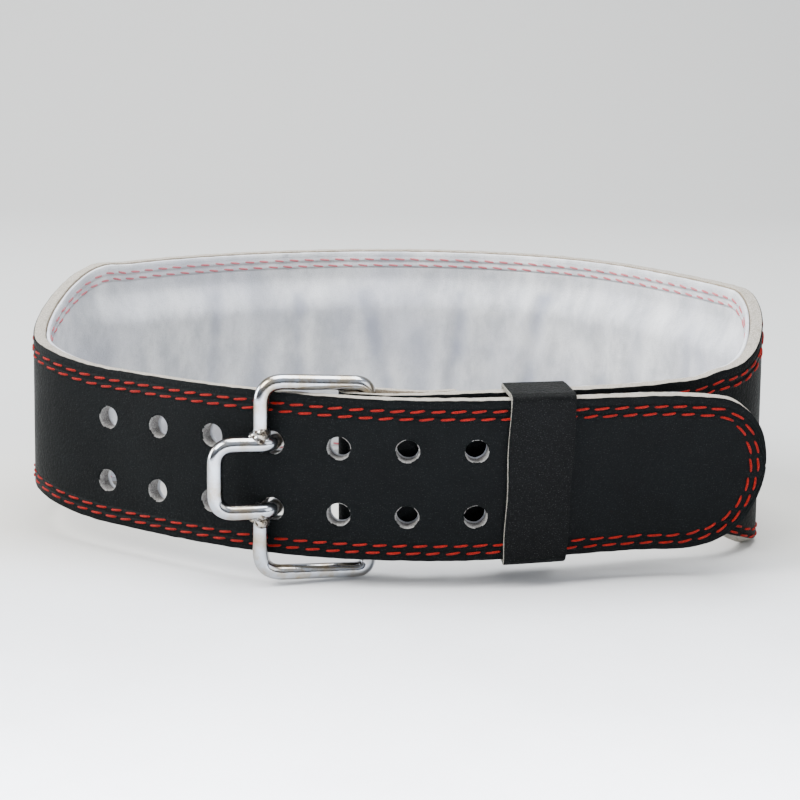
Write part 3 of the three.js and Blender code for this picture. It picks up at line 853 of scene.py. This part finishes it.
def stitch_row(line, phase, surface, outward, radius, length, lift_height, sides=6, rings=7):
    """Threads of one row: each a short tube that rises from its needle hole and dives again."""
    run = run_lengths(line)
    count = int((run[-1] - 2 * ROW_MARGIN) / STITCH_PITCH)
    local = np.random.default_rng(int(phase * 1000) + 3)
    start = ROW_MARGIN + phase * STITCH_PITCH + STITCH_PITCH * np.arange(count - 1)
    start = start + local.normal(0, PLACE_SCATTER, count - 1)
    size = length + local.normal(0, LENGTH_SCATTER, count - 1)
    t = np.linspace(0, 1, rings)
    at_run = start[:, None] + size[:, None] * t
    s = np.interp(at_run, run, line[:, 0])
    h = np.interp(at_run, run, line[:, 1])
    ahead_s = np.interp(at_run + 0.3, run, line[:, 0]) - s
    ahead_h = np.interp(at_run + 0.3, run, line[:, 1]) - h
    norm = np.hypot(ahead_s, ahead_h) + 1e-9
    ahead_s, ahead_h = ahead_s / norm, ahead_h / norm
    slant = (t - 0.5)[None, :] * local.normal(THREAD_SLANT, SLANT_SCATTER, count - 1)[:, None]
    s = s - ahead_h * slant
    h = h + ahead_s * slant
    rise = np.sin(np.pi * t) ** 0.6 * lift_height - THREAD_DIVE
    thick = radius * (0.55 + 0.45 * np.sin(np.pi * t) ** 0.5)
    angle = 2 * math.pi * np.arange(sides) / sides
    across = thick[None, :, None] * np.cos(angle)
    outwards = thick[None, :, None] * np.sin(angle) * 0.85
    fs = s[..., None] - ahead_h[..., None] * across
    fh = h[..., None] + ahead_s[..., None] * across
    level = rise[None, :, None] + outwards
    base = surface(s.ravel(), h.ravel()).reshape(s.shape)[..., None]
    fd = base + outward * level
    flat = np.stack([fs, fh, fd], -1).reshape(-1, 3)
    faces = []
    one = grid_faces(rings, sides)
    for k in range(count - 1):
        base_index = k * rings * sides
        faces += [[base_index + v for v in face] for face in one]
        faces.append([base_index + j for j in range(sides)][::-1])
        faces.append([base_index + (rings - 1) * sides + j for j in range(sides)])
    return flat, faces


def make_stitches(name, rows, material):
    points, faces = [], []
    total = 0
    for flat, row_faces in rows:
        points.append(bend(flat))
        faces += [[total + v for v in face] for face in row_faces]
        total += len(flat)
    piece = make_object(name, np.concatenate(points), faces)
    piece.data.materials.append(materials[material])
    finish_mesh(piece, 0)
    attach(piece, "root")


def stitch_rows(end, surface, outward, radius, length, rise):
    """Both rows round the belt up to length end, on the face whose depth surface gives."""
    rows = []
    for number, phase in enumerate(ROW_PHASES):
        extra = number * ROW_SPACING
        line = row_line(ROW_FROM_TOP + extra, ROW_FROM_BOTTOM + extra, end)
        rows.append(stitch_row(line, phase, surface, outward, radius, length, rise))
    return rows


def grain_face(s, h):
    return 0 * s


def waist_face(s, h):
    return LEATHER + SEAT_GAP + LINING + pad_lift(s, h)


def make_all_stitches():
    rows = stitch_rows(belt_length - STITCH_STOP, grain_face, -1,
                       THREAD_RADIUS, STITCH_LENGTH, THREAD_RISE)
    make_stitches("red_stitching", rows, "thread")
    end = belt_length - FLAP_LENGTH - LINING_STOP - LINING_STITCH_STOP
    rows = stitch_rows(end, waist_face, 1,
                       LINING_THREAD_RADIUS, LINING_STITCH_LENGTH, LINING_THREAD_RISE)
    make_stitches("lining_stitching", rows, "faded_thread")


# Materials

def new_material(name):
    material = bpy.data.materials.new(name)
    material.use_nodes = True
    tree = material.node_tree
    shader = tree.nodes["Principled BSDF"]
    return material, tree, shader


class Nodes:
    """Short spelling of shader nodes: each call makes a node and links its inputs."""

    def __init__(self, tree):
        self.tree = tree

    def link(self, value, socket):
        if isinstance(value, bpy.types.NodeSocket):
            self.tree.links.new(value, socket)
        else:
            socket.default_value = value

    def uv(self, scale=(1, 1, 1)):
        node = self.tree.nodes.new("ShaderNodeUVMap")
        node.uv_map = "flat"
        return self.mapping(node.outputs[0], scale)

    def mapping(self, vector, scale):
        node = self.tree.nodes.new("ShaderNodeMapping")
        self.link(vector, node.inputs["Vector"])
        node.inputs["Scale"].default_value = scale
        return node.outputs[0]

    def object_space(self, scale=(1, 1, 1)):
        node = self.tree.nodes.new("ShaderNodeTexCoord")
        return self.mapping(node.outputs["Object"], scale)

    def noise(self, vector, scale, detail=3.0, roughness=0.5):
        node = self.tree.nodes.new("ShaderNodeTexNoise")
        self.link(vector, node.inputs["Vector"])
        node.inputs["Scale"].default_value = scale
        node.inputs["Detail"].default_value = detail
        node.inputs["Roughness"].default_value = roughness
        return node.outputs["Fac"]

    def cells(self, vector, scale):
        node = self.tree.nodes.new("ShaderNodeTexVoronoi")
        self.link(vector, node.inputs["Vector"])
        node.inputs["Scale"].default_value = scale
        return node.outputs["Distance"]

    def math(self, operation, a, b=0.0):
        node = self.tree.nodes.new("ShaderNodeMath")
        node.operation = operation
        self.link(a, node.inputs[0])
        self.link(b, node.inputs[1])
        return node.outputs[0]

    def ramp(self, value, low, high, start=0.0, end=1.0):
        node = self.tree.nodes.new("ShaderNodeMapRange")
        node.interpolation_type = "SMOOTHSTEP"
        self.link(value, node.inputs["Value"])
        node.inputs["From Min"].default_value = low
        node.inputs["From Max"].default_value = high
        node.inputs["To Min"].default_value = start
        node.inputs["To Max"].default_value = end
        return node.outputs[0]

    def mix(self, share, a, b):
        node = self.tree.nodes.new("ShaderNodeMix")
        node.data_type = "RGBA"
        self.link(share, node.inputs["Factor"])
        self.link(a, node.inputs["A"])
        self.link(b, node.inputs["B"])
        return node.outputs["Result"]

    def attribute(self, name):
        node = self.tree.nodes.new("ShaderNodeAttribute")
        node.attribute_name = name
        return node.outputs["Fac"]

    def bump(self, height, distance, strength=1.0, normal=None):
        node = self.tree.nodes.new("ShaderNodeBump")
        self.link(height, node.inputs["Height"])
        node.inputs["Distance"].default_value = distance
        node.inputs["Strength"].default_value = strength
        if normal is not None:
            self.link(normal, node.inputs["Normal"])
        return node.outputs[0]


# Share of their brightness that the belt's colours keep, because the light is strong enough
# to whiten the floor
SHADE = 0.56


def colour(r, g, b, share=SHADE):
    """Linear colour from 0-255 display values, darkened to a share of its brightness."""
    def linear(v):
        v /= 255
        return share * (v / 12.92 if v <= 0.04045 else ((v + 0.055) / 1.055) ** 2.4)
    return (linear(r), linear(g), linear(b), 1)


def seam_groove(n):
    """Height of the leather pressed down along both stitch rows, 1 away from them."""
    grooves = []
    for edge, first in (("from_top", ROW_FROM_TOP), ("from_bottom", ROW_FROM_BOTTOM)):
        away = n.attribute(edge)
        for place in (first, first + ROW_SPACING):
            distance = n.math("ABSOLUTE", n.math("SUBTRACT", away, place))
            grooves.append(n.ramp(distance, 0.2, 1.3))
    height = grooves[0]
    for groove in grooves[1:]:
        height = n.math("MULTIPLY", height, groove)
    return height


def grain_material(name, base, gloss, dust_and_glint_share):
    material, tree, shader = new_material(name)
    n = Nodes(tree)
    uv = n.uv()
    pebbles = n.cells(uv, 900.0)
    fine = n.noise(uv, 2600.0, 2.0)
    pores = n.cells(uv, 1700.0)
    creases = n.noise(n.uv((1, 2.2, 1)), 160.0, 5.0, 0.6)
    height = n.math("ADD", n.math("MULTIPLY", pebbles, 0.8), n.math("MULTIPLY", fine, 0.35))
    height = n.math("ADD", height, n.math("MULTIPLY", creases, 0.5))
    normal = n.bump(height, 0.0002, 0.8)
    normal = n.bump(seam_groove(n), 0.0005, 0.8, normal)
    tone = n.noise(uv, 45.0, 4.0)
    shade = n.mix(n.ramp(tone, 0.3, 0.7), base, tuple(v * 1.5 for v in base[:3]) + (1,))
    # Light specks in the grain's colour: partly dust, partly painted glints of the pebble grain,
    # stronger on the keeper
    dust_and_glints = n.ramp(n.noise(uv, 2100.0, 1.0), 0.6, 0.72)
    shade = n.mix(n.math("MULTIPLY", dust_and_glints, dust_and_glint_share), shade, colour(150, 150, 148))
    n.link(shade, shader.inputs["Base Color"])
    uneven = n.math("ADD", n.math("MULTIPLY", pores, 0.5), tone)
    rough = n.ramp(uneven, 0.2, 1.2, gloss - 0.08, gloss + 0.14)
    n.link(rough, shader.inputs["Roughness"])
    shader.inputs["IOR"].default_value = 1.38
    shader.inputs["Specular IOR Level"].default_value = 0.06
    n.link(normal, shader.inputs["Normal"])
    return material


def raw_material(name, light, dark, distance):
    material, tree, shader = new_material(name)
    n = Nodes(tree)
    place = n.object_space()
    fibres = n.noise(place, 2400.0, 4.0, 0.7)
    patches = n.noise(place, 420.0, 3.0, 0.6)
    shade = n.mix(n.ramp(fibres, 0.35, 0.65), dark, light)
    shade = n.mix(n.ramp(patches, 0.52, 0.7, 0.0, 0.55), shade, dark)
    n.link(shade, shader.inputs["Base Color"])
    shader.inputs["Roughness"].default_value = 0.95
    shader.inputs["Specular IOR Level"].default_value = 0.1
    height = n.math("ADD", fibres, n.math("MULTIPLY", patches, 0.8))
    n.link(n.bump(height, distance, 0.8), shader.inputs["Normal"])
    return material


def suede_material():
    material, tree, shader = new_material("suede")
    n = Nodes(tree)
    uv = n.uv()
    nap = n.noise(uv, 1500.0, 4.0, 0.7)
    swirl = n.noise(n.uv((1, 0.6, 1)), 60.0, 5.0, 0.65)
    blotch = n.noise(uv, 16.0, 3.0, 0.55)
    shade = n.mix(n.ramp(swirl, 0.3, 0.72), colour(188, 191, 197, 0.74), colour(228, 230, 232, 0.84))
    shade = n.mix(n.ramp(blotch, 0.35, 0.75, 0.0, 0.5), shade, colour(190, 194, 212, 0.72))
    shade = n.mix(n.ramp(nap, 0.3, 0.5, 0.3, 0.0), shade, colour(140, 142, 150))
    # Painted shade in the wrinkles: the suede turns bluish grey where they lie, broken up by noise
    broken = n.ramp(n.noise(uv, 34.0, 2.0), 0.3, 0.65, 0.35, 1.0)
    painted_wrinkle_shade = n.math("MULTIPLY", n.attribute("wrinkle_shade"), broken)
    shade = n.mix(n.ramp(painted_wrinkle_shade, 0.05, 0.3, 0.0, 0.75), shade, colour(158, 164, 182, 0.7))
    n.link(shade, shader.inputs["Base Color"])
    shader.inputs["Roughness"].default_value = 0.92
    shader.inputs["Specular IOR Level"].default_value = 0.12
    shader.inputs["Sheen Weight"].default_value = 0.35
    shader.inputs["Sheen Roughness"].default_value = 0.5
    height = n.math("ADD", n.math("MULTIPLY", nap, 0.5), n.math("MULTIPLY", swirl, 0.9))
    normal = n.bump(height, 0.0006, 0.8)
    n.link(n.bump(seam_groove(n), 0.0011, 0.9, normal), shader.inputs["Normal"])
    return material


def steel_material():
    material, tree, shader = new_material("steel")
    n = Nodes(tree)
    place = n.object_space()
    smudge_and_reflection = n.noise(place, 140.0, 4.0, 0.6)
    scratch = n.noise(n.object_space((1, 1, 6)), 900.0, 3.0)
    weld = n.attribute("weld")
    scorch = n.math("MULTIPLY", n.ramp(weld, 0.35, 0.75), n.ramp(n.noise(place, 700.0, 3.0), 0.42, 0.62))
    # Smudges on the steel, and a warm beige mixed into its colour by the same noise: painted warm
    # reflections
    shade = n.mix(n.ramp(smudge_and_reflection, 0.35, 0.7), colour(204, 210, 218, 0.62), colour(190, 176, 152, 0.56))
    shade = n.mix(scorch, shade, colour(60, 52, 46))
    n.link(shade, shader.inputs["Base Color"])
    shader.inputs["Metallic"].default_value = 1.0
    rough = n.math("ADD", n.ramp(smudge_and_reflection, 0.3, 0.8, 0.12, 0.26), n.math("MULTIPLY", scorch, 0.35))
    n.link(rough, shader.inputs["Roughness"])
    height = n.math("ADD", n.math("MULTIPLY", scratch, 0.3), smudge_and_reflection)
    n.link(n.bump(height, 0.0002, 0.25), shader.inputs["Normal"])
    return material


def thread_material(name, light, dark):
    material, tree, shader = new_material(name)
    n = Nodes(tree)
    place = n.object_space()
    strands = n.noise(place, 3000.0, 2.0)
    tone = n.noise(place, 300.0, 2.0)
    shade = n.mix(n.ramp(strands, 0.35, 0.65), dark, light)
    shade = n.mix(n.ramp(tone, 0.45, 0.7, 0.0, 0.35), shade, dark)
    n.link(shade, shader.inputs["Base Color"])
    shader.inputs["Roughness"].default_value = 0.6
    shader.inputs["Specular IOR Level"].default_value = 0.12
    n.link(n.bump(strands, 0.0002, 0.5), shader.inputs["Normal"])
    return material


def stage_material():
    """Pale cloth, grey up the wall, with a painted warm shadow under the belt and just behind it, bluish
    white towards the camera.
    """
    material, tree, shader = new_material("floor")
    n = Nodes(tree)
    place = n.object_space()
    split = tree.nodes.new("ShaderNodeSeparateXYZ")
    n.link(place, split.inputs[0])
    depth = split.outputs["Y"]
    shade = n.mix(n.ramp(depth, 1.6, 0.3), (0.425, 0.425, 0.416, 1), (0.44, 0.445, 0.44, 1))
    # Painted warm shadow on the floor under the belt and just behind it
    shade = n.mix(n.ramp(depth, 0.16, 0.0), shade, (0.465, 0.455, 0.425, 1))
    shade = n.mix(n.ramp(depth, -0.02, -0.12), shade, (0.66, 0.675, 0.7, 1))
    shade = n.mix(n.ramp(depth, -0.1, -0.26), shade, (0.92, 0.935, 0.98, 1))
    cloth = n.noise(place, 7.0, 5.0, 0.6)
    shade = n.mix(n.ramp(cloth, 0.35, 0.7, 0.0, 0.2), shade, (0.42, 0.42, 0.42, 1))
    n.link(shade, shader.inputs["Base Color"])
    shader.inputs["Roughness"].default_value = 0.95
    shader.inputs["Specular IOR Level"].default_value = 0.1
    n.link(n.bump(n.noise(place, 260.0, 3.0), 0.001, 0.1), shader.inputs["Normal"])
    return material


materials = {
    "grain": grain_material("grain", (0.0015, 0.002, 0.0021, 1), 0.46, 0.07),
    "keeper_grain": grain_material("keeper_grain", (0.0017, 0.002, 0.002, 1), 0.46, 0.12),
    "raw_edge": raw_material("raw_edge", colour(216, 211, 200), colour(160, 152, 140), 0.0004),
    "keeper_edge": raw_material("keeper_edge", colour(206, 202, 190), colour(52, 50, 46), 0.0003),
    "flesh": raw_material("flesh", colour(190, 178, 160), colour(140, 124, 104), 0.0003),
    "hole_wall": raw_material("hole_wall", colour(190, 188, 184), colour(110, 108, 106), 0.0004),
    "suede": suede_material(),
    "steel": steel_material(),
    "thread": thread_material("thread", (0.27, 0.0045, 0.0012, 1), (0.08, 0.0015, 0.0006, 1)),
    "faded_thread": thread_material("faded_thread", colour(206, 124, 130, 0.75),
                                    colour(182, 96, 104, 0.75)),
    "floor": stage_material(),
}

make_leather()
make_lining()
make_buckle()
make_keeper()
make_all_stitches()


# Seamless pale floor that sweeps up behind the belt

SWEEP_START = 1.1
SWEEP_RADIUS = 0.9


def make_stage():
    profile = [(-3.0, 0.0), (SWEEP_START, 0.0)]
    for k in range(1, 17):
        angle = math.pi / 2 * k / 16
        back = SWEEP_START + SWEEP_RADIUS * math.sin(angle)
        profile.append((back, SWEEP_RADIUS - SWEEP_RADIUS * math.cos(angle)))
    profile.append((SWEEP_START + SWEEP_RADIUS, 4.0))
    points = [(x, y, z) for y, z in profile for x in (-4.0, 4.0)]
    faces = [(2 * k, 2 * k + 1, 2 * k + 3, 2 * k + 2) for k in range(len(profile) - 1)]
    floor = make_object("floor", points, faces)
    floor.data.materials.append(materials["floor"])
    finish_mesh(floor, 0)


def area_light(name, place, target, size, power, tint, spread=180):
    light = bpy.data.lights.new(name, "AREA")
    light.shape = "RECTANGLE"
    light.size, light.size_y = size
    light.energy = power
    light.color = tint
    light.spread = math.radians(spread)
    lamp = bpy.data.objects.new(name, light)
    bpy.context.scene.collection.objects.link(lamp)
    lamp.location = place
    direction = Vector(target) - Vector(place)
    lamp.rotation_euler = direction.to_track_quat("-Z", "Y").to_euler()


def make_lights():
    area_light("key", (-1.4, -0.7, 1.6), (0, 0, 0.05), (1.1, 1.1), 92, (1.0, 0.985, 0.96))
    area_light("window", (-2.0, 0.25, 0.5), (0, 0, 0.05), (0.9, 0.9), 52, (0.97, 0.985, 1.0))
    area_light("fill", (1.6, -1.0, 0.9), (0, 0, 0.05), (1.2, 1.2), 16, (0.95, 0.97, 1.0))
    area_light("top", (0.1, 0.1, 1.9), (0, 0.05, 0.0), (1.7, 1.3), 100, (0.97, 0.985, 1.0))
    area_light("near_floor", (0, -0.46, 0.5), (0, -0.46, 0), (1.4, 0.2), 11, (0.92, 0.95, 1.0), 65)
    world = bpy.data.worlds.new("studio")
    bpy.context.scene.world = world
    world.use_nodes = True
    tree = world.node_tree
    n = Nodes(tree)
    view = tree.nodes.new("ShaderNodeTexCoord").outputs["Generated"]
    split = tree.nodes.new("ShaderNodeSeparateXYZ")
    n.link(view, split.inputs[0])
    overhead = n.ramp(split.outputs["Z"], 0.05, 0.7)
    shade = n.mix(overhead, (0.06, 0.06, 0.065, 1), (0.62, 0.65, 0.7, 1))
    background = tree.nodes["Background"]
    n.link(shade, background.inputs["Color"])
    background.inputs["Strength"].default_value = 1.5


# Camera in millimetres and degrees, matched to the photograph and moved with the part when
# it was centred. The focal length is in pixels of a picture PICTURE_WIDTH pixels wide.
CAMERA_X = 0.32
CAMERA_BACK = 604.8
CAMERA_HEIGHT = 200.6
CAMERA_PITCH = 14.0
CAMERA_ROLL = 0.53
FOCAL_LENGTH = 1451
PICTURE_WIDTH = 800
SENSOR_WIDTH = 36


def make_camera():
    camera = bpy.data.cameras.new("camera")
    camera.sensor_width = SENSOR_WIDTH
    camera.lens = FOCAL_LENGTH * SENSOR_WIDTH / PICTURE_WIDTH
    camera.clip_start = 0.02
    camera.clip_end = 50
    view = bpy.data.objects.new("camera", camera)
    bpy.context.scene.collection.objects.link(view)
    pitch, roll = math.radians(CAMERA_PITCH), math.radians(CAMERA_ROLL)
    tilt = Matrix.Rotation(math.pi / 2 - pitch, 4, "X")
    spin = Matrix.Rotation(roll, 4, "Z")
    stand = Vector((CAMERA_X + shift[0], shift[1] - CAMERA_BACK, CAMERA_HEIGHT))
    place = Matrix.Translation(stand * MM)
    view.matrix_world = place @ tilt @ spin
    bpy.context.scene.camera = view


make_stage()
make_lights()
make_camera()
